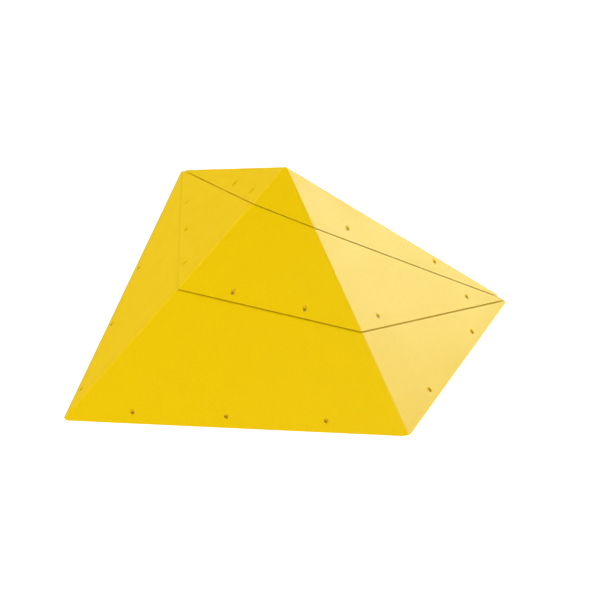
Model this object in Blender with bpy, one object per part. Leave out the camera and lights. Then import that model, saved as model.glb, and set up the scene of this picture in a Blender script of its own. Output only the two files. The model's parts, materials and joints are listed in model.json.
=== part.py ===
"""Stack of three hollow climbing-wall volumes with their screw boards, washers and screws.

The stack is a lopsided four-sided pyramid. Two planes through its back edge cut it into three
wedges that fan out from that edge: the lower, middle and upper volume. Each wedge is a moulded
shell, open underneath, that is screwed to what it sits on through pockets near its rim.
Units are metres, +Z is up and the front looks towards -Y.
"""

import math
from dataclasses import dataclass

import bmesh
import bpy
from mathutils import Matrix, Vector

# Sharp corners of the whole pyramid, from its back left corner: +X along the back edge.
BACK_EDGE = 1.060
FRONT_LEFT = (0.470, -1.015)
FRONT_RIGHT = (1.150, -0.590)
APEX = (0.635, -0.365, 0.425)

# The middle of the footprint, which becomes the origin.
FOOTPRINT_CENTRE = (0.577, -0.508)

# How far each seam plane is tipped up about the back edge.
LOWER_SEAM_ANGLE = math.radians(17.5)
UPPER_SEAM_ANGLE = math.radians(38.0)

# The moulded shells.
WALL = 0.005
EDGE_ROUNDING = 0.008
ROUNDING_STEPS = 4
FEATHER_EDGE = 0.002
GAP = 0.0003

# The screw pockets, square to the plane that each volume sits on. A pocket's floor is a lip's depth
# below the lowest point of its mouth.
POCKET_RADIUS = 0.005
LIP_DEPTH = 0.003
HOLE_RADIUS = 0.003
BOSS_WALL = 0.004
ROUND_STEPS = 18

# The hardware.
WASHER_RADIUS = 0.0045
WASHER_HOLE_RADIUS = 0.00275
WASHER_THICKNESS = 0.0010
SCREW_HEAD_RADIUS = 0.0042
SCREW_HEAD_HEIGHT = 0.0030
SCREW_HEAD_EDGE = 0.0012
SCREW_SHANK_RADIUS = 0.0025
SCREW_LENGTH = 0.032
SCREW_POINT = 0.006

# The plywood that the screws of the volume above bite into.
BOARD_THICKNESS = 0.015
BOARD_INSET = 0.006
BOARD_BACK = 0.100

# Finishes: colour, roughness and metallic value.
YELLOW_FIBREGLASS = ((0.86, 0.58, 0.010), 0.55, 0.0)
YELLOW_ZINC_STEEL = ((0.70, 0.54, 0.24), 0.35, 1.0)
BIRCH_PLYWOOD = ((0.66, 0.49, 0.30), 0.70, 0.0)
SHARP_ANGLE = math.radians(30.0)

# Helper solids start from a blank and reach a margin past what they cut.
BLANK_SIZE = 4.0
MARGIN = 0.060
MERGE_DISTANCE = 0.00001

SIDES = ("left", "front", "right")


@dataclass
class Row:
    """Screws along one side: how far in from the rim, and how far along it each one is."""

    inset: float
    along: tuple


@dataclass
class Spot:
    """One screw: its foot on the plane that the volume sits on, and the height of its pocket's floor."""

    side: str
    number: int
    inset: float
    seat: float
    foot: Vector


@dataclass
class Volume:
    """One wedge, between the plane that it sits on and the plane of its top."""

    name: str
    base_angle: float
    top_angle: float
    rows: dict


VOLUMES = (
    Volume(
        "lower",
        0.0,
        LOWER_SEAM_ANGLE,
        {
            "left": Row(0.0165, (0.512, 0.757, 1.017)),
            "front": Row(0.021, (0.162, 0.380, 0.610)),
            "right": Row(0.020, (0.158, 0.412)),
        },
    ),
    Volume(
        "middle",
        LOWER_SEAM_ANGLE,
        UPPER_SEAM_ANGLE,
        {
            "left": Row(0.015, (0.330, 0.540, 0.775)),
            "front": Row(0.0145, (0.129, 0.302)),
            "right": Row(0.024, (0.075, 0.400)),
        },
    ),
    Volume(
        "upper",
        UPPER_SEAM_ANGLE,
        math.atan2(APEX[2], -APEX[1]),
        {
            "left": Row(0.012, (0.575, 0.755)),
            "right": Row(0.0225, (0.102, 0.3735)),
        },
    ),
)


# Geometry of the pyramid


def plane_normal(angle):
    """Upward normal of the plane tipped up by this angle about the back edge."""
    return Vector((0.0, math.sin(angle), math.cos(angle)))


def to_plane(angle):
    """Turns the pyramid's directions into those of the tipped plane."""
    return Matrix.Rotation(angle, 3, "X")


def ridge_point(foot, angle):
    """Where the ridge from the apex down to a front corner crosses the tipped plane."""
    apex = Vector(APEX)
    foot = Vector((*foot, 0.0))
    above = plane_normal(angle).dot(apex)
    below = plane_normal(angle).dot(foot)
    return apex.lerp(foot, above / (above - below))


def rim_corners(angle):
    """Back left, front left, front right and back right corners, in the tipped plane's axes."""
    corners = (
        Vector((0.0, 0.0, 0.0)),
        ridge_point(FRONT_LEFT, angle),
        ridge_point(FRONT_RIGHT, angle),
        Vector((BACK_EDGE, 0.0, 0.0)),
    )
    return [to_plane(angle) @ corner for corner in corners]


def side_planes(angle):
    """Point and outward normal of the left, front and right faces, in the tipped plane's axes."""
    apex = to_plane(angle) @ Vector(APEX)
    corners = rim_corners(angle)
    planes = []
    for start, end in zip(corners, corners[1:]):
        normal = (end - start).cross(apex - start).normalized()
        planes.append((start, normal))
    return planes


def top_plane(volume):
    """Point and outward normal of the volume's top, in the axes of the plane it sits on."""
    normal = to_plane(volume.base_angle) @ plane_normal(volume.top_angle)
    return Vector((0.0, 0.0, 0.0)), normal


def screw_spots(volume):
    """The volume's screws, in the axes of the plane it sits on."""
    corners = rim_corners(volume.base_angle)
    spots = []
    for side, start, end, (_, normal) in zip(SIDES, corners, corners[1:], side_planes(volume.base_angle)):
        row = volume.rows.get(side)
        if row is None:
            continue
        run = (end - start).normalized()
        inward = Vector((-run.y, run.x, 0.0))
        slope = math.hypot(normal.x, normal.y) / normal.z
        seat = (row.inset - POCKET_RADIUS) * slope - LIP_DEPTH
        for number, along in enumerate(row.along, start=1):
            spots.append(Spot(side, number, row.inset, seat, start + run * along + inward * row.inset))
    return spots


# Mesh helpers


def cut_away(bm, point, normal):
    """Cuts off what lies on the normal's side of a plane, and closes the cut."""
    parts = bm.verts[:] + bm.edges[:] + bm.faces[:]
    cut = bmesh.ops.bisect_plane(
        bm, geom=parts, dist=MERGE_DISTANCE, plane_co=point, plane_no=normal, clear_outer=True
    )
    edges = [part for part in cut["geom_cut"] if isinstance(part, bmesh.types.BMEdge)]
    bmesh.ops.contextual_create(bm, geom=edges)
    bmesh.ops.remove_doubles(bm, verts=bm.verts[:], dist=MERGE_DISTANCE)


def wedge(volume, inset, floor):
    """The volume's sharp wedge, with its faces moved in by inset and its floor at this height."""
    bm = bmesh.new()
    bmesh.ops.create_cube(bm, size=BLANK_SIZE)
    for point, normal in side_planes(volume.base_angle) + [top_plane(volume)]:
        cut_away(bm, point - normal * inset, normal)
    cut_away(bm, Vector((0.0, 0.0, floor)), Vector((0.0, 0.0, -1.0)))
    return bm


def turn(bm, profile, centre):
    """Spins an open profile of (radius, height) points about the vertical line at centre."""
    verts = [bm.verts.new(centre + Vector((radius, 0.0, height))) for radius, height in profile]
    edges = [bm.edges.new(pair) for pair in zip(verts, verts[1:])]
    bmesh.ops.spin(
        bm,
        geom=verts + edges,
        cent=centre,
        axis=(0.0, 0.0, 1.0),
        angle=math.tau,
        steps=ROUND_STEPS,
        use_merge=True,
    )


def finish_mesh(bm, name):
    """Writes a closed bmesh to a mesh that is smooth but for its sharper edges."""
    bmesh.ops.remove_doubles(bm, verts=bm.verts[:], dist=MERGE_DISTANCE)
    bmesh.ops.recalc_face_normals(bm, faces=bm.faces[:])
    mesh = bpy.data.meshes.new(name)
    bm.to_mesh(mesh)
    bm.free()
    mesh.shade_smooth()
    mesh.set_sharp_from_angle(angle=SHARP_ANGLE)
    return mesh


def add_object(bm, name, parent, material=None):
    """Places a finished mesh under a seam's empty."""
    obj = bpy.data.objects.new(name, finish_mesh(bm, name))
    bpy.context.scene.collection.objects.link(obj)
    obj.parent = parent
    if material is not None:
        obj.data.materials.append(material)
    return obj


def add_cutter(bm, name, parent):
    """A helper that only cuts others and isn't part of the stack."""
    obj = add_object(bm, name, parent)
    obj.hide_render = True
    obj.display_type = "WIRE"
    return obj


def cut_with(obj, cutter):
    """Subtracts the cutter from the object."""
    modifier = obj.modifiers.new(f"cut {cutter.name}", "BOOLEAN")
    modifier.operation = "DIFFERENCE"
    modifier.solver = "EXACT"
    modifier.object = cutter


def make_material(name, colour, roughness, metallic):
    material = bpy.data.materials.new(name)
    material.use_nodes = True
    shader = material.node_tree.nodes["Principled BSDF"]
    shader.inputs["Base Color"].default_value = (*colour, 1.0)
    shader.inputs["Roughness"].default_value = roughness
    shader.inputs["Metallic"].default_value = metallic
    return material


# The pieces


def add_seam(volume):
    """The empty on the back edge whose Z axis is the way the volume lifts off."""
    seam = bpy.data.objects.new(f"{volume.name}_seam", None)
    seam.location = (-FOOTPRINT_CENTRE[0], -FOOTPRINT_CENTRE[1], 0.0)
    seam.rotation_euler.x = -volume.base_angle
    bpy.context.scene.collection.objects.link(seam)
    return seam


def outer_form(volume):
    """The rounded outside of a shell, trimmed flat along its rim and blunt along its back."""
    bm = wedge(volume, 0.0, -MARGIN)
    rounded = [edge for edge in bm.edges if max(vert.co.z for vert in edge.verts) > -MARGIN / 2]
    bmesh.ops.bevel(
        bm,
        geom=rounded,
        offset=EDGE_ROUNDING,
        offset_type="OFFSET",
        segments=ROUNDING_STEPS,
        profile=0.5,
        affect="EDGES",
        clamp_overlap=True,
        material=-1,
    )
    rim = 0.0 if volume.base_angle == 0.0 else GAP
    cut_away(bm, Vector((0.0, 0.0, rim)), Vector((0.0, 0.0, -1.0)))
    blunt = (FEATHER_EDGE + rim) / math.tan(volume.top_angle - volume.base_angle)
    cut_away(bm, Vector((0.0, -blunt, 0.0)), Vector((0.0, 1.0, 0.0)))
    return bm


def add_bosses(volume, seam):
    """The columns that are left standing in the hollow around the screws."""
    bm = bmesh.new()
    top = 2 * MARGIN
    for spot in screw_spots(volume):
        radius = max(POCKET_RADIUS + BOSS_WALL, spot.inset - WALL)
        turn(bm, ((0.0, top), (radius, top), (radius, -top), (0.0, -top)), spot.foot)
    return add_cutter(bm, f"{volume.name}_bosses", seam)


def add_hollow(volume, seam):
    """The space inside a shell, less its bosses."""
    hollow = add_cutter(wedge(volume, WALL, -MARGIN), f"{volume.name}_hollow", seam)
    cut_with(hollow, add_bosses(volume, seam))
    return hollow


def add_screw_holes(volume, seam):
    """The pockets, with the holes under them that go on into what the volume sits on."""
    bm = bmesh.new()
    for spot in screw_spots(volume):
        profile = (
            (0.0, 2 * MARGIN),
            (POCKET_RADIUS, 2 * MARGIN),
            (POCKET_RADIUS, spot.seat),
            (HOLE_RADIUS, spot.seat),
            (HOLE_RADIUS, -MARGIN),
            (0.0, -MARGIN),
        )
        turn(bm, profile, spot.foot)
    return add_cutter(bm, f"{volume.name}_screw_holes", seam)


def add_shell(volume, seam, holes, material):
    shell = add_object(outer_form(volume), f"{volume.name}_shell", seam, material)
    cut_with(shell, add_hollow(volume, seam))
    cut_with(shell, holes)
    return shell


def add_washers(volume, seam, material):
    for spot in screw_spots(volume):
        low = spot.seat + GAP
        high = low + WASHER_THICKNESS
        profile = (
            (WASHER_HOLE_RADIUS, high),
            (WASHER_RADIUS, high),
            (WASHER_RADIUS, low),
            (WASHER_HOLE_RADIUS, low),
            (WASHER_HOLE_RADIUS, high),
        )
        bm = bmesh.new()
        turn(bm, profile, spot.foot)
        add_object(bm, f"{volume.name}_{spot.side}_washer_{spot.number}", seam, material)


def add_screws(volume, seam, material):
    """Pan-head wood screws, whose heads press on the washers."""
    for spot in screw_spots(volume):
        under_head = spot.seat + WASHER_THICKNESS + 2 * GAP
        head_top = under_head + SCREW_HEAD_HEIGHT
        tip = under_head - SCREW_LENGTH
        profile = (
            (0.0, head_top),
            (SCREW_HEAD_RADIUS - SCREW_HEAD_EDGE, head_top),
            (SCREW_HEAD_RADIUS, head_top - SCREW_HEAD_EDGE),
            (SCREW_HEAD_RADIUS, under_head),
            (SCREW_SHANK_RADIUS, under_head),
            (SCREW_SHANK_RADIUS, tip + SCREW_POINT),
            (0.0, tip),
        )
        bm = bmesh.new()
        turn(bm, profile, spot.foot)
        add_object(bm, f"{volume.name}_{spot.side}_screw_{spot.number}", seam, material)


def board_corners(angle):
    """The rim of the seam plane, moved in from the side faces and cut off short of the back."""
    corners = rim_corners(angle)
    back = Vector((0.0, -BOARD_BACK, 0.0))
    lines = []
    for start, end in zip(corners, corners[1:]):
        run = (end - start).normalized()
        inward = Vector((-run.y, run.x, 0.0))
        lines.append((start + inward * BOARD_INSET, run))
    lines.append((back, Vector((1.0, 0.0, 0.0))))
    outline = []
    for (start, run), (other, other_run) in zip(lines, lines[1:] + lines[:1]):
        across = Vector((-other_run.y, other_run.x, 0.0))
        distance = across.dot(other - start) / across.dot(run)
        outline.append(start + run * distance)
    return outline


def add_board(below, above, seam, holes, material):
    """Plywood bonded under the top of the volume below, for the screws of the one above."""
    bm = bmesh.new()
    top = -WALL - GAP
    verts = [bm.verts.new(corner + Vector((0.0, 0.0, top))) for corner in board_corners(above.base_angle)]
    face = bm.faces.new(verts)
    pulled = bmesh.ops.extrude_face_region(bm, geom=[face])
    lowered = [part for part in pulled["geom"] if isinstance(part, bmesh.types.BMVert)]
    bmesh.ops.translate(bm, verts=lowered, vec=(0.0, 0.0, -BOARD_THICKNESS))
    board = add_object(bm, f"{below.name}_screw_board", seam, material)
    cut_with(board, holes)


def main():
    for obj in list(bpy.data.objects):
        bpy.data.objects.remove(obj, do_unlink=True)

    yellow = make_material("yellow_fibreglass", *YELLOW_FIBREGLASS)
    yellow_zinc = make_material("yellow_zinc_steel", *YELLOW_ZINC_STEEL)
    plywood = make_material("birch_plywood", *BIRCH_PLYWOOD)

    seams = [add_seam(volume) for volume in VOLUMES]
    bpy.context.view_layer.update()
    holes = [add_screw_holes(volume, seam) for volume, seam in zip(VOLUMES, seams)]
    shells = []
    for volume, seam, own_holes in zip(VOLUMES, seams, holes):
        shells.append(add_shell(volume, seam, own_holes, yellow))
        add_washers(volume, seam, yellow_zinc)
    for index in range(1, len(VOLUMES)):
        cut_with(shells[index - 1], holes[index])
        add_board(VOLUMES[index - 1], VOLUMES[index], seams[index], holes[index], plywood)
        add_screws(VOLUMES[index], seams[index], yellow_zinc)


main()
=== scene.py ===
"""Looks for a stack of three hollow climbing-wall volumes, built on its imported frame.

The stack is a lopsided four-sided pyramid. Planes through its back edge cut it into three wedges: the
lower, middle and upper volume. Each wedge is a moulded shell with a gritty yellow gelcoat outside and
bare laminate inside. Screws go down through pockets near its rim, square to the plane it sits on.
Units are metres, +Z is up and the front looks towards -Y.
"""

import json
import math
import string
from dataclasses import dataclass

import bmesh
import bpy
from bpy.props import FloatProperty, FloatVectorProperty, IntProperty, PointerProperty
from mathutils import Matrix, Vector


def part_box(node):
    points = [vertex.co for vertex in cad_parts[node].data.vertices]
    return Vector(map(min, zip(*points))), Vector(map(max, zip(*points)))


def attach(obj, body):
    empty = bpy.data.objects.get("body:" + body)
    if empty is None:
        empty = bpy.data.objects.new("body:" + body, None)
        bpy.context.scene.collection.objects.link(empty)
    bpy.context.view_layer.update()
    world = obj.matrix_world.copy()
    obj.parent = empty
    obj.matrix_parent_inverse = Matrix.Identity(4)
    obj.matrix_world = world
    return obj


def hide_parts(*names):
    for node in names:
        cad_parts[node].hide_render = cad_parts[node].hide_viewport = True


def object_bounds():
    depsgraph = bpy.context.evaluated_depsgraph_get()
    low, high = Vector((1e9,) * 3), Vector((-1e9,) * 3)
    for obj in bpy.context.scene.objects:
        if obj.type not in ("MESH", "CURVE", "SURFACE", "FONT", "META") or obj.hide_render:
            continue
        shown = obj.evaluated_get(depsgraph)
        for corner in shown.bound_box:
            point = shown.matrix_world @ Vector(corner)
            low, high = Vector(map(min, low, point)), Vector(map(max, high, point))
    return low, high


bl_info = {
    "name": "Climbing Wall Volumes",
    "version": (1, 0, 0),
    "blender": (4, 5, 0),
    "location": "3D View > Sidebar > Volumes",
    "description": "Models a stack of hollow climbing-wall volumes, its screws and a studio to show it in",
    "category": "Object",
}

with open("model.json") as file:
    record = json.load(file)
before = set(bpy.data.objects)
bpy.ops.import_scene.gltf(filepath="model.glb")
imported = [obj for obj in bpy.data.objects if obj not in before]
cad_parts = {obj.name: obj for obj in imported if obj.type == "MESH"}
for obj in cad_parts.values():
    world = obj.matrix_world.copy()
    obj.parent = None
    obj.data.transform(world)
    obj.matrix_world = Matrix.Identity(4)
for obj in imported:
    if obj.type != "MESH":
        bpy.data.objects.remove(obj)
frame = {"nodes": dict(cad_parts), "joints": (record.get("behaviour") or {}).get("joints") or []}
CAD_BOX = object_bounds()

UP = Vector((0.0, 0.0, 1.0))
WHITE = (1.0, 1.0, 1.0)

# Points this close are merged, and points this close to a plane lie on it.
MERGE_DISTANCE = 0.00001
ON_PLANE = 0.0001

# Shells are cut from a large block, and cutters reach a margin past what they cut.
BLANK_SIZE = 4.0
MARGIN = 0.060

# Edges sharper than this stay sharp, and faces within it of a direction face that way.
SHARP_ANGLE = math.radians(30.0)

# The most that weighted normals can favour large faces, so that they look flat.
FLAT_FACE_WEIGHT = 100

# How far a pocket's wall may lean, how far the sides lean, and how many radii out a pocket's edges may be.
WALL_LEAN = math.radians(1.0)
FLATTEST_SIDE = math.radians(15.0)
STEEPEST_SIDE = math.radians(75.0)
POCKET_REACH = 1.01

# The thread is sunk into the shank, to this share of the core's radius.
THREAD_ROOT = 0.8
DRIVE_LOBES = 6

# The order of the material slots on a shell.
GELCOAT, LAMINATE, TRIMMED = range(3)


def length(name, description, default):
    return FloatProperty(name=name, description=description, default=default, unit="LENGTH", precision=4)


def point(name, description, default):
    return FloatVectorProperty(name=name, description=description, default=default, subtype="TRANSLATION")


def colour(name, description, default):
    return FloatVectorProperty(
        name=name, description=description, default=default, subtype="COLOR", min=0.0, max=1.0
    )


def angle(name, description, degrees):
    return FloatProperty(
        name=name, description=description, default=math.radians(degrees), subtype="ANGLE"
    )


def amount(name, description, default):
    return FloatProperty(name=name, description=description, default=default, subtype="FACTOR")


def bright(name, description, default):
    return FloatProperty(name=name, description=description, default=default, min=0.0)


def count(name, description, default):
    return IntProperty(name=name, description=description, default=default, min=1, subtype="UNSIGNED")


# Sizes and colours that a user would change


class PyramidSizes(bpy.types.PropertyGroup):
    """Sharp corners of the whole stack, and how its shells are rounded."""

    back_left: point("Back left", "Back left corner of the footprint", (-0.577, 0.508, 0.0))
    front_left: point("Front left", "Front left corner of the footprint", (-0.107, -0.507, 0.0))
    front_right: point("Front right", "Front right corner of the footprint", (0.573, -0.082, 0.0))
    back_right: point("Back right", "Back right corner of the footprint", (0.483, 0.508, 0.0))
    apex: point("Apex", "Where the four faces would meet", (0.058, 0.143, 0.425))
    wall: length("Wall", "Thickness of the moulded wall", 0.005)
    lower_gap: length("Lower gap", "Gap between the middle volume and the lower one", 0.0022)
    upper_gap: length("Upper gap", "Gap between the upper volume and the middle one", 0.0008)
    ridge_rounding: length("Ridge rounding", "Rounding of a ridge, along each face", 0.004)
    shoulder_rounding: length("Shoulder rounding", "Rounding of an edge under a seam", 0.004)
    hollow_rounding: length("Hollow rounding", "Rounding of the corners inside", 0.010)
    lower_tips: length("Lower tips", "Rounding of the lower rim's back corners", 0.012)
    middle_tips: length("Middle tips", "Rounding of the middle rim's back corners", 0.028)
    upper_tips: length("Upper tips", "Rounding of the upper rim's back corners", 0.034)
    foot_rounding: length("Foot rounding", "Rounding of the lower rim's front corners", 0.020)
    seam_corners: length("Seam corners", "Rounding of the upper rims' front corners", 0.008)
    tip_allowance: length("Tip allowance", "How far the trimming outline stands off the rim", 0.001)
    back_thickness: length("Back thickness", "Height of the blunt back edge", 0.002)
    rounding_steps: count("Rounding steps", "Facets across a rounded edge", 6)


class PocketSizes(bpy.types.PropertyGroup):
    """The screw pockets in the shells, and the columns that stand around them."""

    radius: length("Radius", "Radius of a pocket", 0.005)
    floor_drop: length("Floor drop", "From a washer's middle down to its pocket's floor", 0.0008)
    hole_radius: length("Hole radius", "Radius of the hole under a pocket", 0.003)
    mouth_rounding: length("Mouth rounding", "Rounding of a pocket's mouth", 0.0010)
    boss_wall: length("Boss wall", "Least wall of the column around a pocket", 0.004)
    round_steps: count("Round steps", "Facets around a pocket", 40)
    mouth_steps: count("Mouth steps", "Facets across the mouth's rounding", 3)


class HardwareSizes(bpy.types.PropertyGroup):
    """Washers and wood screws."""

    washer_radius: length("Washer radius", "Outer radius of a washer", 0.0045)
    washer_hole: length("Washer hole", "Radius of a washer's hole", 0.00275)
    washer_thickness: length("Washer thickness", "Thickness of a washer", 0.0010)
    washer_edge: length("Washer edge", "Rounding of a washer's stamped edges", 0.0003)
    head_radius: length("Head radius", "Radius of a screw's pan head", 0.0042)
    head_height: length("Head height", "Height of a screw's pan head", 0.0030)
    head_edge: length("Head edge", "Rounding of the head's top", 0.0014)
    recess_radius: length("Recess radius", "Radius of the six-lobed drive recess", 0.0019)
    recess_waist: length("Recess waist", "Radius of the recess between its lobes", 0.0014)
    recess_depth: length("Recess depth", "Depth of the drive recess", 0.0018)
    thread_radius: length("Thread radius", "Outer radius of the thread", 0.0025)
    core_radius: length("Core radius", "Radius of the shank inside the thread", 0.0017)
    thread_pitch: length("Thread pitch", "Rise of the thread in one turn", 0.0022)
    plain_shank: length("Plain shank", "Length under the head with no thread", 0.006)
    screw_length: length("Screw length", "Length under the head", 0.032)
    point_length: length("Point length", "Length of the tapered point", 0.006)
    round_steps: count("Round steps", "Facets around a washer or a screw", 36)
    turn_between: angle("Turn between screws", "How much further each next screw has been turned", 137.5)


class Finishes(bpy.types.PropertyGroup):
    """Colours of the finishes, and sizes and depths of their patterns."""

    gelcoat: colour("Gelcoat", "Yellow of the moulded outside", (0.90, 0.598, 0.0015))
    gelcoat_deep: colour("Deep gelcoat", "Deeper yellow of flecks and clouds", (0.85, 0.556, 0.001))
    grit: length("Grit", "Size of the gelcoat's grains", 0.0018)
    grit_depth: length("Grit depth", "Height of the gelcoat's grains", 0.0003)
    flecks: length("Flecks", "Size of the gelcoat's flecks", 0.0045)
    fleck_share: amount("Fleck share", "How far a fleck goes to the deeper yellow", 0.80)
    clouds: length("Clouds", "Size of the gelcoat's clouds", 0.09)
    cloud_share: amount("Cloud share", "How far a cloud goes to the deeper yellow", 0.25)
    waves: length("Waves", "Size of the waves in the moulding", 0.22)
    wave_depth: length("Wave depth", "Height of the waves in the moulding", 0.0006)
    resin: colour("Resin", "Cured resin between the glass strands", (0.42, 0.30, 0.075))
    strand: colour("Strand", "Glass strands in the laminate", (0.66, 0.56, 0.28))
    strand_depth: length("Strand depth", "Height of the glass strands", 0.0004)
    strand_layers: count("Strand layers", "Layers of strands, each lying another way", 5)
    pools: length("Pools", "Size of the pools of resin", 0.06)
    pool_depth: length("Pool depth", "Height of the pools of resin", 0.0012)
    trimmed: colour("Trimmed edge", "Sawn edge of the laminate", (0.70, 0.56, 0.24))
    trimmed_dark: colour("Trimmed edge, dark", "Resin between the cut strands", (0.46, 0.34, 0.10))
    cut_ends: length("Cut ends", "Size of the cut strand ends", 0.0012)
    cut_depth: length("Cut depth", "Height of the cut strand ends", 0.0003)
    saw_marks: length("Saw marks", "Size of the marks of the saw", 0.012)
    birch: colour("Birch", "Pale wood of the plywood", (0.70, 0.53, 0.34))
    birch_dark: colour("Dark birch", "Grain lines and end grain of the plywood", (0.47, 0.31, 0.17))
    ply: length("Ply", "Thickness of one ply", 0.00136)
    grain_depth: length("Grain depth", "Height of the wood's grain", 0.0003)
    grain_clouds: length("Grain clouds", "Size of the stretches where the grain shows more", 0.05)
    chromate: colour("Chromate", "Yellow chromate over the hardware's zinc", (0.88, 0.70, 0.26))
    chromate_thin: colour("Thin chromate", "Where the chromate is thinner", (0.90, 0.78, 0.44))
    chromate_patches: length("Chromate patches", "Size of the patches of thinner chromate", 0.005)
    tumbling: length("Tumbling", "Size of the tumbling marks", 0.0005)
    tumbling_depth: length("Tumbling depth", "Height of the tumbling marks", 0.00004)
    metal: amount("Metal", "How far the hardware shines as bare metal does", 0.5)


class StudioSizes(bpy.types.PropertyGroup):
    """The camera, the floor and the soft lights."""

    azimuth: angle("Azimuth", "How far the camera stands round to the right", 36.1)
    elevation: angle("Elevation", "How far the camera looks down", 36.06)
    aim: point("Aim", "Where on the floor the camera looks", (0.0586, 0.2002, 0.0))
    distance: length("Distance", "From the camera to where it looks", 4.5204)
    lens: FloatProperty(
        name="Lens", description="Focal length on a 36 mm sensor", default=107.22, unit="CAMERA"
    )
    floor_radius: length("Floor radius", "Radius of the round floor", 4.0)
    floor_steps: count("Floor steps", "Sides of the round floor", 64)
    floor: colour("Floor", "Pale floor", (0.90, 0.90, 0.90))
    floor_glow: amount("Floor glow", "Light that the floor gives off itself", 0.60)
    backdrop: amount("Backdrop", "Brightness of the pale backdrop beyond the floor", 1.0)
    underglow: amount("Underglow", "Brightness of the light that falls on the rim from below", 0.7)
    underglow_edge: amount("Underglow edge", "How steeply that light comes up, as a sine", 0.25)
    tent_width: length("Tent width", "Across the square light tent around the object", 8.0)
    tent_height: length("Tent height", "From the floor to the ceiling of the light tent", 5.0)
    ceiling: bright("Ceiling", "Brightness of the tent's ceiling", 0.59)
    left_wall: bright("Left wall", "Brightness of the tent's left wall", 1.95)
    front_wall: bright("Front wall", "Brightness of the tent's front wall", 1.165)
    right_wall: bright("Right wall", "Brightness of the tent's right wall", 1.14)
    back_wall: bright("Back wall", "Brightness of the tent's back wall", 0.8)
    right_sheen: bright("Right sheen", "Brightness of the panel whose shine pales the right face", 6.3)
    right_sheen_way: point("Right sheen way", "Which way that panel lies", (0.33, 0.86, 0.38))
    left_sheen: bright("Left sheen", "Brightness of the panel whose shine pales the left face", 0.4)
    left_sheen_way: point("Left sheen way", "Which way that panel lies", (-0.90, 0.28, 0.25))
    sheen_tint: colour("Sheen tint", "Cool tint of the panels' shine", (0.80, 1.0, 1.0))
    sheen_side: length("Sheen side", "Side of each square panel", 2.6)
    sheen_distance: length("Sheen distance", "From the object to the panels", 6.0)


# Geometry of the pyramid


@dataclass
class Volume:
    """One wedge, between the plane that it sits on and the plane of its top."""

    name: str
    base: Vector
    top: Vector
    gap: float
    tips: float
    front_corners: float

    @property
    def body(self):
        return f"{self.name}_volume"


@dataclass
class Spot:
    """A screw pocket: its foot on the plane that its volume sits on, and its washer's height over it."""

    foot: Vector
    washer: float


def corners(sizes):
    """Back left, front left, front right and back right corners of the footprint."""
    names = ("back_left", "front_left", "front_right", "back_right")
    return [Vector(getattr(sizes, name)) for name in names]


def side_planes(sizes):
    """Point and outward normal of the left, front and right faces."""
    apex = Vector(sizes.apex)
    planes = []
    for start, end in zip(corners(sizes), corners(sizes)[1:]):
        planes.append((start, (end - start).cross(apex - start).normalized()))
    return planes


def volumes(sizes):
    """The three wedges. The planes that the upper two sit on are square to the way they lift off."""
    lift = {joint["child"]: Vector(joint["axis"]) for joint in frame["joints"]}
    back_left, _, _, back_right = corners(sizes)
    back_face = (back_right - back_left).cross(Vector(sizes.apex) - back_left).normalized()
    bases = [UP, lift["middle_volume"], lift["upper_volume"]]
    tops = bases[1:] + [back_face if back_face.z > 0.0 else -back_face]
    gaps = (0.0, sizes.lower_gap, sizes.upper_gap)
    tips = (sizes.lower_tips, sizes.middle_tips, sizes.upper_tips)
    fronts = (sizes.foot_rounding, sizes.seam_corners, sizes.seam_corners)
    names = ("lower", "middle", "upper")
    return [Volume(*parts) for parts in zip(names, bases, tops, gaps, tips, fronts)]


def height_over(volume, sizes, place):
    """How far a place is above the plane that the volume sits on."""
    return (place - Vector(sizes.back_left)).dot(volume.base)


def rim_corners(volume, sizes):
    """Corners of the volume's outline in the plane that it sits on."""
    apex = Vector(sizes.apex)
    back_left, front_left, front_right, back_right = corners(sizes)
    fronts = []
    for foot in (front_left, front_right):
        above = height_over(volume, sizes, apex)
        below = height_over(volume, sizes, foot)
        fronts.append(apex.lerp(foot, above / (above - below)))
    return [back_left, fronts[0], fronts[1], back_right]


def nodes_of(volume, kind):
    """Names of the volume's numbered nodes of one kind, such as its washers."""
    named = [name for name in frame["nodes"] if name.startswith(f"{volume.name}_")]
    return sorted(name for name in named if name.rstrip(string.digits).endswith(f"_{kind}_"))


def screw_spots(volume, sizes):
    """The volume's screw pockets, each around the washer that lies in it."""
    spots = []
    for washer in nodes_of(volume, "washer"):
        low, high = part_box(washer)
        centre = (low + high) / 2
        height = height_over(volume, sizes, centre)
        spots.append(Spot(centre - volume.base * height, height))
    return spots


def rim_inset(volume, sizes, foot):
    """Distance from a screw's foot to the nearest side of the rim."""
    insets = []
    for place, normal in side_planes(sizes):
        lean = math.sqrt(1.0 - normal.dot(volume.base) ** 2)
        insets.append((place - foot).dot(normal) / lean)
    return min(insets)


def stand_on(volume, foot, turn=0.0):
    """Places a thing that was made upright at the origin on the volume's plane."""
    tilt = UP.rotation_difference(volume.base).to_matrix().to_4x4()
    return Matrix.Translation(foot) @ tilt @ Matrix.Rotation(turn, 4, "Z")


# Mesh helpers


def cut_away(bm, place, normal):
    """Cuts off what lies on the normal's side of a plane, and closes the cut."""
    parts = bm.verts[:] + bm.edges[:] + bm.faces[:]
    cut = bmesh.ops.bisect_plane(
        bm, geom=parts, dist=MERGE_DISTANCE, plane_co=place, plane_no=normal, clear_outer=True
    )
    edges = [part for part in cut["geom_cut"] if isinstance(part, bmesh.types.BMEdge)]
    bmesh.ops.contextual_create(bm, geom=edges)
    bmesh.ops.remove_doubles(bm, verts=bm.verts[:], dist=MERGE_DISTANCE)


def round_edges(bm, edges, offset, segments):
    bmesh.ops.bevel(
        bm,
        geom=edges,
        offset=offset,
        offset_type="OFFSET",
        segments=segments,
        profile=0.5,
        affect="EDGES",
        clamp_overlap=True,
        material=-1,
    )


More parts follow.
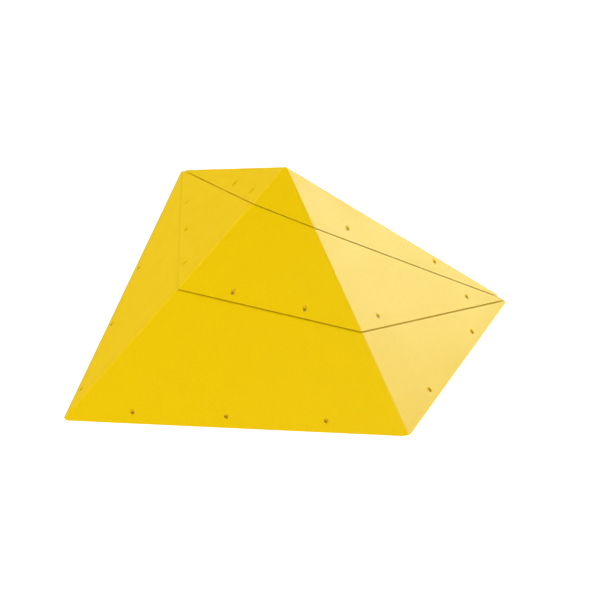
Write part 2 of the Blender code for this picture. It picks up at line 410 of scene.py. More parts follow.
def turn_profile(bm, profile, place, axis, steps):
    """Spins an open profile of (radius, height) points about the line through place along axis."""
    outward = axis.orthogonal().normalized()
    verts = [bm.verts.new(place + outward * radius + axis * height) for radius, height in profile]
    edges = [bm.edges.new(pair) for pair in zip(verts, verts[1:])]
    bmesh.ops.spin(
        bm, geom=verts + edges, cent=place, axis=axis, angle=math.tau, steps=steps, use_merge=True
    )


def close_up(bm):
    """Merges doubles and turns the faces outwards."""
    bmesh.ops.remove_doubles(bm, verts=bm.verts[:], dist=MERGE_DISTANCE)
    bmesh.ops.recalc_face_normals(bm, faces=bm.faces[:])


def add_object(bm, name, materials):
    """Writes a bmesh to a new object at the origin."""
    mesh = bpy.data.meshes.new(name)
    bm.to_mesh(mesh)
    bm.free()
    for material in materials:
        mesh.materials.append(material)
    obj = bpy.data.objects.new(name, mesh)
    bpy.context.scene.collection.objects.link(obj)
    return obj


def add_cutter(bm, name, materials, slot):
    """A helper that lends its faces' material slot to what it cuts."""
    close_up(bm)
    for face in bm.faces:
        face.material_index = slot
    return add_object(bm, name, materials)


def combine(obj, cutter, operation="DIFFERENCE"):
    modifier = obj.modifiers.new(cutter.name, "BOOLEAN")
    modifier.operation = operation
    modifier.solver = "EXACT"
    modifier.object = cutter


def settle(obj):
    """Applies the object's modifiers to its mesh."""
    bpy.context.view_layer.update()
    depsgraph = bpy.context.evaluated_depsgraph_get()
    mesh = bpy.data.meshes.new_from_object(obj.evaluated_get(depsgraph))
    mesh.name = obj.name
    obj.modifiers.clear()
    obj.data = mesh
    if not mesh.polygons:
        raise RuntimeError(f"{obj.name} has no faces left after its cuts")


def discard(objects):
    for obj in objects:
        mesh = obj.data
        bpy.data.objects.remove(obj)
        bpy.data.meshes.remove(mesh)


def shade(mesh):
    """Smooth, but for the sharper edges."""
    mesh.shade_smooth()
    mesh.set_sharp_from_angle(angle=SHARP_ANGLE)


def hand_over(obj, volume, node):
    """Lets a finished piece stand for its node and move with its volume."""
    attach(obj, volume.body)
    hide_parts(node)


# Shells


def wedge(volume, sizes, inset):
    """The volume's sharp wedge, its faces moved in by inset, reaching a margin below its rim."""
    back_left = Vector(sizes.back_left)
    bm = bmesh.new()
    bmesh.ops.create_cube(bm, size=BLANK_SIZE)
    for place, normal in side_planes(sizes) + [(back_left, volume.top)]:
        cut_away(bm, place - normal * inset, normal)
    cut_away(bm, back_left - volume.base * MARGIN, -volume.base)
    return bm


def upper_edges(bm, volume, sizes):
    """The wedge's edges, but for those around its floor."""
    return [
        edge
        for edge in bm.edges
        if max(height_over(volume, sizes, vert.co) for vert in edge.verts) > -MARGIN / 2
    ]


def add_blank(volume, sizes, materials):
    """The outside of a shell before trimming, with its ridges and the shoulders under a seam rounded."""
    bm = wedge(volume, sizes, 0.0)
    widest = max(sizes.ridge_rounding, sizes.shoulder_rounding)
    weights = bm.edges.layers.float.new("bevel_weight_edge")
    for edge in upper_edges(bm, volume, sizes):
        off_top = [(vert.co - Vector(sizes.back_left)).dot(volume.top) for vert in edge.verts]
        is_shoulder = volume.name != "upper" and max(map(abs, off_top)) < ON_PLANE
        edge[weights] = (sizes.shoulder_rounding if is_shoulder else sizes.ridge_rounding) / widest
    blank = add_object(bm, f"{volume.name}_moulded_shell", materials)
    rounding = blank.modifiers.new("rounding", "BEVEL")
    rounding.limit_method = "WEIGHT"
    rounding.width = widest
    rounding.segments = sizes.rounding_steps
    return blank


def add_outline(volume, sizes, materials):
    """The trimming outline: an upright prism with blunt back and rounded corners."""
    tip_angle = volume.top.angle(volume.base)
    blunt = (sizes.back_thickness + volume.gap) / math.tan(tip_angle)
    back_left, front_left, front_right, back_right = rim_corners(volume, sizes)
    middle = (back_left + front_left + front_right + back_right) / 4
    bm = bmesh.new()
    bmesh.ops.create_cube(bm, size=BLANK_SIZE)
    for start, end in ((back_left, front_left), (front_left, front_right), (front_right, back_right)):
        outward = (end - start).cross(volume.base).normalized()
        cut_away(bm, start + outward * sizes.tip_allowance, outward)
    backward = (back_right - back_left).cross(volume.base).normalized()
    if backward.dot(back_left - middle) < 0.0:
        backward.negate()
    cut_away(bm, back_left - backward * blunt, backward)
    cut_away(bm, back_left + volume.base * volume.gap, -volume.base)
    for at_back, offset in ((True, volume.tips), (False, volume.front_corners)):
        uprights = []
        for edge in bm.edges:
            low, high = (vert.co for vert in edge.verts)
            is_upright = abs((high - low).normalized().dot(volume.base)) > math.cos(SHARP_ANGLE)
            if is_upright and (backward.dot(low - back_left) > -MARGIN) == at_back:
                uprights.append(edge)
        round_edges(bm, uprights, offset, sizes.rounding_steps * 2)
    outline = add_cutter(bm, f"{volume.name}_outline", materials, GELCOAT)
    for face in outline.data.polygons:
        if face.normal.dot(volume.base) < -math.cos(SHARP_ANGLE):
            face.material_index = TRIMMED
    return outline


def add_hollow(volume, sizes, pockets, materials):
    """The space inside a shell, and the columns that are left standing in it around the screws."""
    bm = wedge(volume, sizes, sizes.wall)
    round_edges(bm, upper_edges(bm, volume, sizes), sizes.hollow_rounding, sizes.rounding_steps // 2)
    hollow = add_cutter(bm, f"{volume.name}_hollow", materials, LAMINATE)
    bm = bmesh.new()
    for spot in screw_spots(volume, sizes):
        radius = max(pockets.radius + pockets.boss_wall, rim_inset(volume, sizes, spot.foot) - sizes.wall)
        column = ((0.0, 2 * MARGIN), (radius, 2 * MARGIN), (radius, -2 * MARGIN), (0.0, -2 * MARGIN))
        turn_profile(bm, column, spot.foot, volume.base, pockets.round_steps)
    bosses = add_cutter(bm, f"{volume.name}_bosses", materials, LAMINATE)
    combine(hollow, bosses)
    return hollow, bosses


def add_screw_holes(volume, sizes, pockets, materials):
    """The pockets, with the holes under them that go on into what the volume sits on."""
    bm = bmesh.new()
    for spot in screw_spots(volume, sizes):
        floor = spot.washer - pockets.floor_drop
        profile = (
            (0.0, 2 * MARGIN),
            (pockets.radius, 2 * MARGIN),
            (pockets.radius, floor),
            (pockets.hole_radius, floor),
            (pockets.hole_radius, -MARGIN),
            (0.0, -MARGIN),
        )
        turn_profile(bm, profile, spot.foot, volume.base, pockets.round_steps)
    return add_cutter(bm, f"{volume.name}_screw_holes", materials, GELCOAT)


def round_mouths(shell, volume, sizes, pockets):
    """Rounds the edges where the pockets come out through the faces."""
    feet = [spot.foot for spot in screw_spots(volume, sizes)]
    bm = bmesh.new()
    bm.from_mesh(shell.data)
    mouths = []
    for edge in bm.edges:
        if len(edge.link_faces) != 2:
            continue
        lean = sorted(face.normal.dot(volume.base) for face in edge.link_faces)
        middle = (edge.verts[0].co + edge.verts[1].co) / 2
        offsets = [middle - foot for foot in feet]
        reach = min((offset - volume.base * offset.dot(volume.base)).length for offset in offsets)
        on_wall = abs(lean[0]) < math.sin(WALL_LEAN)
        on_face = math.cos(STEEPEST_SIDE) < lean[1] < math.cos(FLATTEST_SIDE)
        if on_wall and on_face and reach < pockets.radius * POCKET_REACH:
            mouths.append(edge)
    round_edges(bm, mouths, pockets.mouth_rounding, pockets.mouth_steps)
    bm.to_mesh(shell.data)
    bm.free()


def make_shells(scene):
    """Cuts every volume's own pockets, and the holes that the screws of the volume above go on into."""
    sizes = scene.pyramid_sizes
    pockets = scene.pocket_sizes
    finishes = scene.volume_finishes
    materials = [gelcoat(finishes), laminate(finishes), trimmed_edge(finishes)]
    stack = volumes(sizes)
    holes = [add_screw_holes(volume, sizes, pockets, materials) for volume in stack]
    helpers = list(holes)
    shells = []
    for index, volume in enumerate(stack):
        shell = add_blank(volume, sizes, materials)
        outline = add_outline(volume, sizes, materials)
        hollow, bosses = add_hollow(volume, sizes, pockets, materials)
        helpers += [outline, hollow, bosses]
        combine(shell, outline, "INTERSECT")
        combine(shell, hollow)
        for cutter in holes[index:index + 2]:
            combine(shell, cutter)
        settle(shell)
        shells.append(shell)
    discard(helpers)
    for volume, shell in zip(stack, shells):
        round_mouths(shell, volume, sizes, pockets)
        shade(shell.data)
        flatten = shell.modifiers.new("flat faces", "WEIGHTED_NORMAL")
        flatten.keep_sharp = True
        flatten.weight = FLAT_FACE_WEIGHT
        hand_over(shell, volume, f"{volume.name}_shell")


# Hardware


def washer_profile(sizes):
    """Section of a washer, rounded where the punch came in and sharp where it came out."""
    edge = sizes.washer_edge
    top = sizes.washer_thickness / 2
    inner = sizes.washer_hole + edge
    outer = sizes.washer_radius - edge
    rise = top - edge
    hole = [(inner - edge * math.cos(step), rise + edge * math.sin(step)) for step in quarter()]
    eased = [(outer + edge * math.sin(step), rise + edge * math.cos(step)) for step in quarter()]
    return hole + eased + [(sizes.washer_radius, -top), (sizes.washer_hole, -top), hole[0]]


def quarter(steps=4):
    """Angles of a quarter turn."""
    return [math.pi / 2 * step / steps for step in range(steps + 1)]


def make_washers(scene):
    sizes = scene.pyramid_sizes
    hardware = scene.hardware_sizes
    material = yellow_zinc(scene.volume_finishes, "yellow_zinc_washer")
    for volume in volumes(sizes):
        for node in nodes_of(volume, "washer"):
            low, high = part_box(node)
            bm = bmesh.new()
            turn_profile(bm, washer_profile(hardware), Vector(), UP, hardware.round_steps)
            close_up(bm)
            bm.transform(stand_on(volume, (low + high) / 2))
            washer = add_object(bm, f"{node}_zinc", [material])
            shade(washer.data)
            hand_over(washer, volume, node)


def screw_body(hardware):
    """Head, shank and point, with the underside of the head at the origin."""
    edge = hardware.head_edge
    rim = hardware.head_height - edge
    dome = [
        (hardware.head_radius - edge + edge * math.sin(step), rim + edge * math.cos(step))
        for step in quarter()
    ]
    tip = -hardware.screw_length
    profile = [(0.0, hardware.head_height)] + dome + [
        (hardware.head_radius, 0.0),
        (hardware.thread_radius, 0.0),
        (hardware.thread_radius, -hardware.plain_shank),
        (hardware.core_radius, -hardware.plain_shank - (hardware.thread_radius - hardware.core_radius)),
        (hardware.core_radius, tip + hardware.point_length),
        (0.0, tip),
    ]
    bm = bmesh.new()
    turn_profile(bm, profile, Vector(), UP, hardware.round_steps)
    close_up(bm)
    return bm


def screw_thread(hardware):
    """A triangular ridge wound down the shank from its plain part to the start of its point."""
    start = -hardware.plain_shank
    run = hardware.screw_length - hardware.plain_shank - hardware.point_length
    turns = run / hardware.thread_pitch
    half = hardware.thread_pitch / 4
    sunk = hardware.core_radius * THREAD_ROOT
    bm = bmesh.new()
    section = ((sunk, start + half), (hardware.thread_radius, start), (sunk, start - half))
    verts = [bm.verts.new((radius, 0.0, height)) for radius, height in section]
    face = bm.faces.new(verts)
    bmesh.ops.spin(
        bm,
        geom=[face],
        cent=(0.0, 0.0, 0.0),
        axis=(0.0, 0.0, 1.0),
        dvec=(0.0, 0.0, -run / (turns * hardware.round_steps)),
        angle=-math.tau * turns,
        steps=round(turns * hardware.round_steps),
    )
    close_up(bm)
    return bm


def drive_recess(hardware):
    """A six-lobed socket, cut down into the head."""
    bm = bmesh.new()
    outline = bmesh.ops.create_circle(
        bm, cap_ends=True, radius=hardware.recess_radius, segments=2 * DRIVE_LOBES
    )["verts"]
    waist = hardware.recess_waist / hardware.recess_radius
    bmesh.ops.scale(bm, verts=outline[::2], vec=(waist, waist, 1.0))
    pulled = bmesh.ops.extrude_face_region(bm, geom=bm.faces[:])
    raised = [part for part in pulled["geom"] if isinstance(part, bmesh.types.BMVert)]
    bmesh.ops.translate(bm, verts=raised, vec=(0.0, 0.0, 2 * hardware.recess_depth))
    floor = hardware.head_height - hardware.recess_depth
    bmesh.ops.translate(bm, verts=bm.verts[:], vec=(0.0, 0.0, floor))
    close_up(bm)
    return bm


def screw_mesh(hardware, material):
    """One upright screw."""
    screw = add_object(screw_body(hardware), "wood_screw", [material])
    thread = add_object(screw_thread(hardware), "screw_thread", [material])
    recess = add_object(drive_recess(hardware), "drive_recess", [material])
    combine(screw, thread, "UNION")
    combine(screw, recess)
    settle(screw)
    discard([thread, recess])
    mesh = screw.data
    bpy.data.objects.remove(screw)
    return mesh


def make_screws(scene):
    """Each screw stands on its washer."""
    sizes = scene.pyramid_sizes
    hardware = scene.hardware_sizes
    pattern = screw_mesh(hardware, yellow_zinc(scene.volume_finishes, "yellow_zinc_screw"))
    made = 0
    for volume in volumes(sizes):
        for node in nodes_of(volume, "screw"):
            low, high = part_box(node.replace("_screw_", "_washer_"))
            under_head = (low + high) / 2 + volume.base * hardware.washer_thickness / 2
            mesh = pattern.copy()
            mesh.transform(stand_on(volume, under_head, hardware.turn_between * made))
            mesh.name = f"{node}_wood_screw"
            shade(mesh)
            screw = bpy.data.objects.new(mesh.name, mesh)
            bpy.context.scene.collection.objects.link(screw)
            hand_over(screw, volume, node)
            made += 1
    bpy.data.meshes.remove(pattern)


def make_boards(scene):
    """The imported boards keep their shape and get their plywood."""
    for volume in volumes(scene.pyramid_sizes):
        name = f"{volume.name}_screw_board"
        if name not in frame["nodes"]:
            continue
        board = frame["nodes"][name]
        board.data.materials.clear()
        board.data.materials.append(plywood(scene.volume_finishes, volume))


# Shader nodes


class Sketch:
    """Adds the nodes of a material or a node group, and links them as they are named."""

    def __init__(self, tree):
        self.tree = tree

    def add(self, kind, inputs=None, **settings):
        node = self.tree.nodes.new(kind)
        for name, value in settings.items():
            setattr(node, name, value)
        for name, value in (inputs or {}).items():
            self.feed(node.inputs[name], value)
        return node

    def feed(self, socket, value):
        if isinstance(value, bpy.types.NodeSocket):
            self.tree.links.new(value, socket)
        else:
            socket.default_value = value

    def maths(self, operation, first, second=0.0):
        node = self.add("ShaderNodeMath", {0: first, 1: second}, operation=operation)
        return node.outputs[0]

    def ranged(self, value, low, high, to_low, to_high):
        inputs = {"Value": value, "From Min": low, "From Max": high, "To Min": to_low, "To Max": to_high}
        return self.add("ShaderNodeMapRange", inputs).outputs["Result"]

    def spread(self, value, low, high):
        """A mask that goes from 0 to 1 as the value goes from low to high."""
        return self.ranged(value, low, high, 0.0, 1.0)

    def between(self, mask, low, high):
        """A value that goes from low to high as the mask goes from 0 to 1."""
        return self.ranged(mask, 0.0, 1.0, low, high)

    def mixed(self, factor, first, second):
        node = self.add("ShaderNodeMix", data_type="RGBA")
        self.feed(node.inputs[0], factor)
        self.feed(node.inputs[6], first)
        self.feed(node.inputs[7], second)
        return node.outputs[2]

    def bumped(self, height, distance, strength, normal=None):
        node = self.add("ShaderNodeBump", {"Height": height, "Distance": distance, "Strength": strength})
        if normal is not None:
            self.feed(node.inputs["Normal"], normal)
        return node.outputs["Normal"]

    def group(self, tree, inputs):
        return self.add("ShaderNodeGroup", inputs, node_tree=tree).outputs


def opaque(rgb):
    return (*rgb, 1.0)


def new_group(name, inputs, outputs):
    """An empty node group, with its sketch and its input and output nodes."""
    tree = bpy.data.node_groups.new(name, "ShaderNodeTree")
    for socket, kind in inputs:
        tree.interface.new_socket(name=socket, in_out="INPUT", socket_type=kind)
    for socket in outputs:
        tree.interface.new_socket(name=socket, in_out="OUTPUT", socket_type="NodeSocketFloat")
    sketch = Sketch(tree)
    return sketch, sketch.add("NodeGroupInput").outputs, sketch.add("NodeGroupOutput").inputs


def shared_group(name, build):
    """The node group of this name, built on its first use."""
    return bpy.data.node_groups.get(name) or build(name)


# Spans of Blender's noise that are spread to the whole of a mask.
SPECKLE_SPAN = (0.3, 0.7)
CLOUD_SPAN = (0.25, 0.75)
NOISE_MIDDLE = 0.5

# How far from its middle a grain reaches, as a share of its size.
GRAIN_REACH = 0.8


def build_grit(name):
    """Fine grains and the speckle of tone that goes with them."""
    inputs = (("Vector", "NodeSocketVector"), ("Size", "NodeSocketFloat"))
    sketch, given, result = new_group(name, inputs, ("Height", "Speckle"))
    scale = sketch.maths("DIVIDE", 1.0, given["Size"])
    shared = {"Vector": given["Vector"], "Scale": scale}
    grains = sketch.add("ShaderNodeTexVoronoi", shared, feature="SMOOTH_F1").outputs["Distance"]
    grain_tops = sketch.ranged(grains, 0.0, GRAIN_REACH, 1.0, 0.0)
    cloud = sketch.add("ShaderNodeTexNoise", {**shared, "Detail": 3.0, "Roughness": 0.65}).outputs["Fac"]
    sketch.feed(result["Height"], sketch.maths("MULTIPLY", grain_tops, cloud))
    sketch.feed(result["Speckle"], sketch.spread(cloud, *SPECKLE_SPAN))
    return sketch.tree


def build_mottle(name):
    """Slow, cloudy change over a surface."""
    inputs = (("Vector", "NodeSocketVector"), ("Size", "NodeSocketFloat"))
    sketch, given, result = new_group(name, inputs, ("Cloud",))
    scale = sketch.maths("DIVIDE", 1.0, given["Size"])
    cloud = sketch.add("ShaderNodeTexNoise", {"Vector": given["Vector"], "Scale": scale, "Detail": 2.0})
    sketch.feed(result["Cloud"], sketch.spread(cloud.outputs["Fac"], *CLOUD_SPAN))
    return sketch.tree


def build_strands(name):
    """Thin lines that run along one direction, as glass strands or wood grain do."""
    inputs = (
        ("Vector", "NodeSocketVector"),
        ("Turn", "NodeSocketVector"),
        ("Stretch", "NodeSocketVector"),
        ("Width", "NodeSocketFloat"),
    )
    sketch, given, result = new_group(name, inputs, ("Line",))
    turned = sketch.add(
        "ShaderNodeVectorRotate",
        {"Vector": given["Vector"], "Rotation": given["Turn"]},
        rotation_type="EULER_XYZ",
    )
    stretched = sketch.add("ShaderNodeVectorMath", operation="MULTIPLY")
    sketch.feed(stretched.inputs[0], turned.outputs["Vector"])
    sketch.feed(stretched.inputs[1], given["Stretch"])
    noise = {"Vector": stretched.outputs["Vector"], "Scale": 1.0, "Detail": 1.0}
    field = sketch.add("ShaderNodeTexNoise", noise).outputs["Fac"]
    off_line = sketch.maths("ABSOLUTE", sketch.maths("SUBTRACT", field, NOISE_MIDDLE))
    near = sketch.maths("DIVIDE", off_line, given["Width"])
    sketch.feed(result["Line"], sketch.between(near, 1.0, 0.0))
    return sketch.tree


def grit(sketch, place, size):
    """Places fine grit in a material: its Height and Speckle."""
    return sketch.group(shared_group("Fine grit", build_grit), {"Vector": place, "Size": size})


def mottle(sketch, place, size):
    """Places a cloudy mask in a material."""
    return sketch.group(shared_group("Mottle", build_mottle), {"Vector": place, "Size": size})["Cloud"]


def strands(sketch, place, turn, waves, width):
    """Places a mask of thin lines in a material."""
    inputs = {"Vector": place, "Turn": turn, "Stretch": waves, "Width": width}
    return sketch.group(shared_group("Strands", build_strands), inputs)["Line"]


def new_material(name):
    """A material with only its Principled shader, and the object coordinates to pattern it by."""
    material = bpy.data.materials.new(name)
    material.use_nodes = True
    sketch = Sketch(material.node_tree)
    shader = material.node_tree.nodes["Principled BSDF"]
    place = sketch.add("ShaderNodeTexCoord").outputs["Object"]
    return material, sketch, shader, place


def coat(sketch, shader, tint, roughness, normal):
    """Feeds a material's shader with its patterns."""
    for name, value in (("Base Color", tint), ("Roughness", roughness), ("Normal", normal)):
        sketch.feed(shader.inputs[name], value)


# Finishes

# Waves to a metre along and across strands and grain, and how much of a wave their line takes.
STRAND_WAVES = (30.0, 260.0, 260.0)
STRAND_WIDTH = 0.035
GRAIN_WAVES = (5.0, 170.0, 170.0)
GRAIN_WIDTH = 0.10

# Each layer of strands is turned on from the one before by these angles.
LAYER_TURN = (1.3, 0.8, 2.1)


def gelcoat(finishes):
    """Matt yellow gelcoat with a fine grit that gives grip, over a moulding that isn't quite flat."""
    material, sketch, shader, place = new_material("yellow_gelcoat")
    grains = grit(sketch, place, finishes.grit)
    flecks = grit(sketch, place, finishes.flecks)["Speckle"]
    cloud = mottle(sketch, place, finishes.clouds)
    wave = mottle(sketch, place, finishes.waves)
    speckle = sketch.maths("MULTIPLY", flecks, finishes.fleck_share)
    depth = sketch.maths("MULTIPLY_ADD", cloud, finishes.cloud_share)
    sketch.feed(depth.node.inputs[2], speckle)
    base = sketch.mixed(depth, opaque(finishes.gelcoat), opaque(finishes.gelcoat_deep))
    roughness = sketch.between(cloud, low=0.32, high=0.38)
    waved = sketch.bumped(wave, finishes.wave_depth, strength=1.0)
    gritty = sketch.bumped(grains["Height"], finishes.grit_depth, strength=0.8, normal=waved)
    coat(sketch, shader, base, roughness, gritty)
    return material


def laminate(finishes):
    """Bare chopped-strand laminate: glass strands lying every way in glossy resin."""
    material, sketch, shader, place = new_material("bare_laminate")
    lines = None
    for layer in range(finishes.strand_layers):
        turn = tuple(layer * part for part in LAYER_TURN)
        line = strands(sketch, place, turn, STRAND_WAVES, STRAND_WIDTH)
        lines = line if lines is None else sketch.maths("MAXIMUM", lines, line)
    cloud = mottle(sketch, place, finishes.pools)
    shown = sketch.maths("MULTIPLY", lines, sketch.between(cloud, low=0.45, high=0.95))
    base = sketch.mixed(shown, opaque(finishes.resin), opaque(finishes.strand))
    roughness = sketch.between(shown, low=0.28, high=0.55)
    pooled = sketch.bumped(cloud, finishes.pool_depth, strength=1.0)
    stranded = sketch.bumped(lines, finishes.strand_depth, strength=0.8, normal=pooled)
    coat(sketch, shader, base, roughness, stranded)
    return material


def trimmed_edge(finishes):
    """The sawn rim, with cut strand ends and saw marks."""
    material, sketch, shader, place = new_material("trimmed_laminate")
    ends = grit(sketch, place, finishes.cut_ends)
    marks = mottle(sketch, place, finishes.saw_marks)
    dark = sketch.maths("MULTIPLY", ends["Speckle"], sketch.between(marks, low=0.4, high=1.0))
    base = sketch.mixed(dark, opaque(finishes.trimmed), opaque(finishes.trimmed_dark))
    roughness = sketch.between(marks, low=0.70, high=0.85)
    sawn = sketch.bumped(ends["Height"], finishes.cut_depth, strength=0.6)
    coat(sketch, shader, base, roughness, sawn)
    return material


def plywood(finishes, volume):
    """Birch plywood: long grain on its faces, and light and dark plies round its edges."""
    material, sketch, shader, place = new_material(f"birch_plywood_{volume.name}")
    lean = math.atan2(volume.top.y, volume.top.z)
    laid_flat = {"Vector": place, "Rotation": (lean, 0.0, 0.0)}
    flat = sketch.add("ShaderNodeVectorRotate", laid_flat, rotation_type="EULER_XYZ").outputs["Vector"]
    grain = strands(sketch, flat, (0.0, 0.0, 0.0), GRAIN_WAVES, GRAIN_WIDTH)
    cloud = mottle(sketch, flat, finishes.grain_clouds)
    grain_tone = sketch.maths("MULTIPLY", grain, sketch.between(cloud, low=0.25, high=0.7))
    across = sketch.add("ShaderNodeSeparateXYZ", {"Vector": flat}).outputs["Z"]
    ply = sketch.maths("PINGPONG", sketch.maths("DIVIDE", across, finishes.ply), 1.0)
    plies = sketch.spread(ply, low=0.35, high=0.65)
    facing = sketch.add("ShaderNodeTexCoord").outputs["Normal"]
    vectors = {0: facing, 1: tuple(volume.top)}
    square_on = sketch.add("ShaderNodeVectorMath", vectors, operation="DOT_PRODUCT").outputs["Value"]
    on_face = sketch.spread(sketch.maths("ABSOLUTE", square_on), low=0.3, high=0.7)
    tones = {0: on_face, 2: plies, 3: grain_tone}
    tone = sketch.add("ShaderNodeMix", tones, data_type="FLOAT").outputs[0]
    base = sketch.mixed(tone, opaque(finishes.birch), opaque(finishes.birch_dark))
    roughness = sketch.between(tone, low=0.60, high=0.80)
    grained = sketch.bumped(tone, finishes.grain_depth, strength=0.5)
    coat(sketch, shader, base, roughness, grained)
    return material


def yellow_zinc(finishes, name):
    """Zinc plate under a yellow chromate that is thinner in patches, with fine tumbling marks."""
    material, sketch, shader, place = new_material(name)
    marks = grit(sketch, place, finishes.tumbling)
    patches = mottle(sketch, place, finishes.chromate_patches)
    thin = sketch.maths("MULTIPLY", patches, marks["Speckle"])
    base = sketch.mixed(thin, opaque(finishes.chromate), opaque(finishes.chromate_thin))
    roughness = sketch.between(thin, low=0.46, high=0.36)
    tumbled = sketch.bumped(marks["Height"], finishes.tumbling_depth, strength=0.5)
    coat(sketch, shader, base, roughness, tumbled)
    shader.inputs["Metallic"].default_value = finishes.metal
    return material


# Studio


def floor_material(studio):
    """Pale and matt, and clear from below so that the hollow underside can be looked at."""
    material, sketch, shader, _ = new_material("studio_floor")
    shader.inputs["Base Color"].default_value = opaque(studio.floor)
    shader.inputs["Roughness"].default_value = 1.0
    shader.inputs["Specular IOR Level"].default_value = 0.0
    shader.inputs["Emission Color"].default_value = opaque(WHITE)
    shader.inputs["Emission Strength"].default_value = studio.floor_glow
    below = sketch.add("ShaderNodeNewGeometry").outputs["Backfacing"]
    clear = sketch.add("ShaderNodeBsdfTransparent").outputs["BSDF"]
    mix = sketch.add("ShaderNodeMixShader", {0: below, 1: shader.outputs["BSDF"], 2: clear})
    output = material.node_tree.nodes["Material Output"]
    sketch.feed(output.inputs["Surface"], mix.outputs["Shader"])
    return material


def add_floor(studio):
    bm = bmesh.new()
    bmesh.ops.create_circle(bm, cap_ends=True, radius=studio.floor_radius, segments=studio.floor_steps)
    floor = add_object(bm, "studio_floor", [floor_material(studio)])
    floor.visible_glossy = False


def add_softbox(name, place, away, size, brightness):
    """A soft light on the away side of the object, which it faces. Brightness 1 looks white."""
    width, height = size
    light = bpy.data.lights.new(name, "AREA")
    light.shape = "RECTANGLE"
    light.size = width
    light.size_y = height
    light.energy = brightness * math.pi * width * height
    softbox = bpy.data.objects.new(name, light)
    softbox.location = place
    softbox.rotation_euler = away.to_track_quat("Z", "Y").to_euler()
    softbox.visible_camera = False
    bpy.context.scene.collection.objects.link(softbox)
    return softbox


def add_tent(studio):
    """Even light from four walls and a ceiling. Only the right and back walls show as a shine."""
    half = studio.tent_width / 2
    top = Vector((0.0, 0.0, studio.tent_height))
    square = (studio.tent_width, studio.tent_width)
    panels = [add_softbox("tent_ceiling", top, UP, square, studio.ceiling)]
    for side, across, along in (("left", -1, 0), ("front", 0, -1), ("right", 1, 0), ("back", 0, 1)):
        away = Vector((across, along, 0.0))
        size = (studio.tent_width, studio.tent_height)
        brightness = getattr(studio, f"{side}_wall")
        panels.append(add_softbox(f"tent_{side}_wall", top / 2 + away * half, away, size, brightness))
    for panel in panels:
        panel.visible_glossy = panel.name in ("tent_right_wall", "tent_back_wall")
        panel.data.cycles.use_multiple_importance_sampling = panel.visible_glossy


def add_sheen(studio):
    """Panels that are only seen as a shine on what faces half way to them."""
    middle = (CAD_BOX[0] + CAD_BOX[1]) / 2
    square = (studio.sheen_side, studio.sheen_side)
    for name in ("right_sheen", "left_sheen"):
        away = Vector(getattr(studio, f"{name}_way")).normalized()
        place = middle + away * studio.sheen_distance
        panel = add_softbox(name, place, away, square, getattr(studio, name))
        panel.data.color = studio.sheen_tint
        panel.visible_diffuse = False


def add_sky(studio):
    """A pale backdrop that only the camera sees, and light from below for the rim on the floor."""
    world = bpy.data.worlds.new("studio")
    world.use_nodes = True
    sketch = Sketch(world.node_tree)
    rays = sketch.add("ShaderNodeLightPath").outputs
    way = sketch.add("ShaderNodeTexCoord").outputs["Generated"]
    rise = sketch.add("ShaderNodeSeparateXYZ", {"Vector": way}).outputs["Z"]
    below = sketch.maths("LESS_THAN", rise, -studio.underglow_edge)
    below_and_matt = sketch.maths("GREATER_THAN", below, rays["Is Glossy Ray"])
    glow = sketch.maths("MULTIPLY", below_and_matt, studio.underglow)
    strength = sketch.add(
        "ShaderNodeMix", {0: rays["Is Camera Ray"], 2: glow, 3: studio.backdrop}, data_type="FLOAT"
    )
    background = world.node_tree.nodes["Background"]
    background.inputs["Color"].default_value = opaque(WHITE)
    sketch.feed(background.inputs["Strength"], strength.outputs[0])
    bpy.context.scene.world = world


def add_camera(studio):
    level = math.cos(studio.elevation)
    rise = math.sin(studio.elevation)
    back = Vector((math.sin(studio.azimuth) * level, -math.cos(studio.azimuth) * level, rise))
    data = bpy.data.cameras.new("camera")
    data.lens = studio.lens
    camera = bpy.data.objects.new("camera", data)
    camera.location = Vector(studio.aim) + back * studio.distance
    camera.rotation_euler = back.to_track_quat("Z", "Y").to_euler()
    bpy.context.scene.collection.objects.link(camera)
    bpy.context.scene.camera = camera


def make_studio(scene):
    studio = scene.studio_sizes
    add_floor(studio)
    add_sky(studio)
    add_tent(studio)
    add_sheen(studio)
    add_camera(studio)
    scene.view_settings.view_transform = "Standard"


# Operators and panel


class VOLUMES_OT_make_shells(bpy.types.Operator):
    """Model the three moulded shells with their screw pockets"""

    bl_idname = "climbing_volumes.make_shells"
    bl_label = "Make Shells"

    def execute(self, context):
        make_shells(context.scene)
        return {"FINISHED"}


class VOLUMES_OT_make_boards(bpy.types.Operator):
    """Give the screw boards their plywood"""

    bl_idname = "climbing_volumes.make_boards"
    bl_label = "Make Screw Boards"

    def execute(self, context):
        make_boards(context.scene)
        return {"FINISHED"}


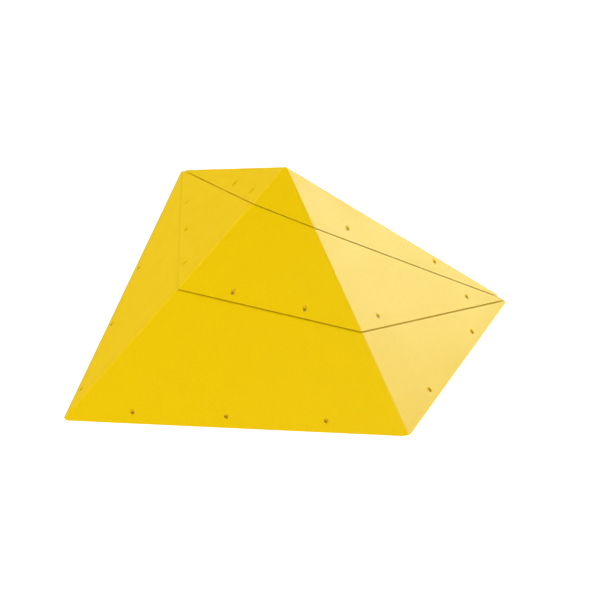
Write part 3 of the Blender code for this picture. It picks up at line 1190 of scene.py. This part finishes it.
class VOLUMES_OT_make_washers(bpy.types.Operator):
    """Model the washers in the pockets"""

    bl_idname = "climbing_volumes.make_washers"
    bl_label = "Make Washers"

    def execute(self, context):
        make_washers(context.scene)
        return {"FINISHED"}


class VOLUMES_OT_make_screws(bpy.types.Operator):
    """Model the wood screws that hold the stack together"""

    bl_idname = "climbing_volumes.make_screws"
    bl_label = "Make Screws"

    def execute(self, context):
        make_screws(context.scene)
        return {"FINISHED"}


class VOLUMES_OT_make_studio(bpy.types.Operator):
    """Set up the floor, the soft lights and the camera"""

    bl_idname = "climbing_volumes.make_studio"
    bl_label = "Make Studio"

    def execute(self, context):
        make_studio(context.scene)
        return {"FINISHED"}


OPERATORS = (
    VOLUMES_OT_make_shells,
    VOLUMES_OT_make_boards,
    VOLUMES_OT_make_washers,
    VOLUMES_OT_make_screws,
    VOLUMES_OT_make_studio,
)

GROUPS = {
    "pyramid_sizes": PyramidSizes,
    "pocket_sizes": PocketSizes,
    "hardware_sizes": HardwareSizes,
    "volume_finishes": Finishes,
    "studio_sizes": StudioSizes,
}


class VOLUMES_PT_sidebar(bpy.types.Panel):
    """Lists the sizes and the steps that build the stack"""

    bl_idname = "VOLUMES_PT_sidebar"
    bl_label = "Climbing Wall Volumes"
    bl_space_type = "VIEW_3D"
    bl_region_type = "UI"
    bl_category = "Volumes"

    def draw(self, context):
        for attribute, group in GROUPS.items():
            box = self.layout.box()
            for name in group.__annotations__:
                box.prop(getattr(context.scene, attribute), name)
        for operator in OPERATORS:
            self.layout.operator(operator.bl_idname)


CLASSES = (*GROUPS.values(), *OPERATORS, VOLUMES_PT_sidebar)


def register():
    for cls in CLASSES:
        bpy.utils.register_class(cls)
    for attribute, group in GROUPS.items():
        setattr(bpy.types.Scene, attribute, PointerProperty(type=group))


def unregister():
    for attribute in GROUPS:
        delattr(bpy.types.Scene, attribute)
    for cls in reversed(CLASSES):
        bpy.utils.unregister_class(cls)


def main():
    register()
    bpy.ops.climbing_volumes.make_shells()
    bpy.ops.climbing_volumes.make_boards()
    bpy.ops.climbing_volumes.make_washers()
    bpy.ops.climbing_volumes.make_screws()
    bpy.ops.climbing_volumes.make_studio()


if __name__ == "__main__":
    main()
